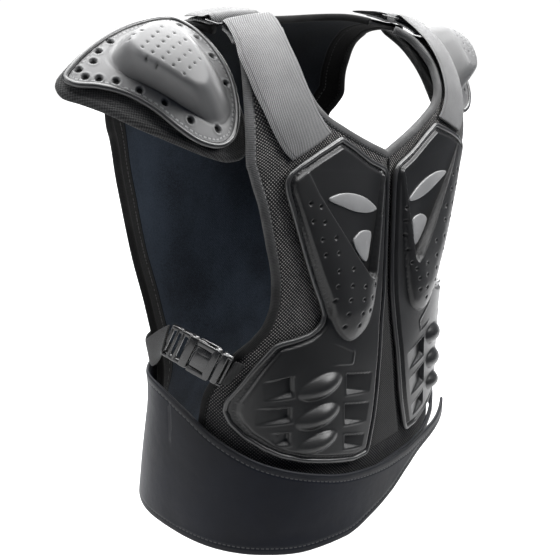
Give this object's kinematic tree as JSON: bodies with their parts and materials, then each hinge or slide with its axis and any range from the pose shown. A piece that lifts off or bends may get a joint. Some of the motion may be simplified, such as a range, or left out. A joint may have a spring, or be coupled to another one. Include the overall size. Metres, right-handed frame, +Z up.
{
  "type": "chest protector",
  "caption": "Sleeveless padded chest and back protector with moulded chest plates, domed shoulder caps, side buckles and a wide lapped waist belt.",
  "frame": {"origin": "midway between the two shoulder rests, where the straps cross from front to back", "axes": "+Z up, the front of the body faces -Y, +X to the wearer's left"},
  "size_m": [0.5622, 0.2517, 0.4888],
  "materials": {
    "spacer_mesh": "open spacer mesh",
    "edge_tape": "soft knitted tape",
    "lining": "brushed neoprene lining",
    "plate_plastic": "satin moulded",
    "piping": "smooth",
    "insert": "silver grey satin",
    "webbing": "woven twill",
    "cap_plastic": "satin moulded",
    "pad_fabric": "knitted mesh over foam",
    "belt_leather": "smooth coated satin",
    "buckle_plastic": "glossy moulded"
  },
  "bodies": {
    "root": {"front_panel": "spacer_mesh", "front_neck_tape": "edge_tape", "front_arm_tape_right": "edge_tape", "front_arm_tape_left": "edge_tape", "back_panel": "lining", "back_neck_tape": "edge_tape", "back_arm_tape_right": "edge_tape", "back_arm_tape_left": "edge_tape", "chest_plate_right": "plate_plastic", "chest_plate_left": "plate_plastic", "chest_piping_right": "piping", "chest_piping_left": "piping", "eye_window_right": "insert", "eye_window_left": "insert", "lower_window_right": "insert", "lower_window_left": "insert", "centre_strip": "webbing", "shoulder_strap_right": "webbing", "shoulder_strap_left": "webbing", "yoke_loop_right": "webbing", "yoke_loop_left": "webbing", "strap_ring_right": "buckle_plastic", "strap_ring_left": "buckle_plastic", "shoulder_cap_right": "cap_plastic", "shoulder_cap_left": "cap_plastic", "shoulder_pad_right": "pad_fabric", "shoulder_pad_left": "pad_fabric", "cap_piping_right": "piping", "cap_piping_left": "piping", "waist_belt": "belt_leather", "buckle_socket_right": "buckle_plastic", "buckle_socket_left": "buckle_plastic", "buckle_plug_right": "buckle_plastic", "buckle_plug_left": "buckle_plastic", "side_strap_front_right": "webbing", "side_strap_front_left": "webbing", "side_strap_back_right": "webbing", "side_strap_back_left": "webbing"}
  },
  "joints": []
}
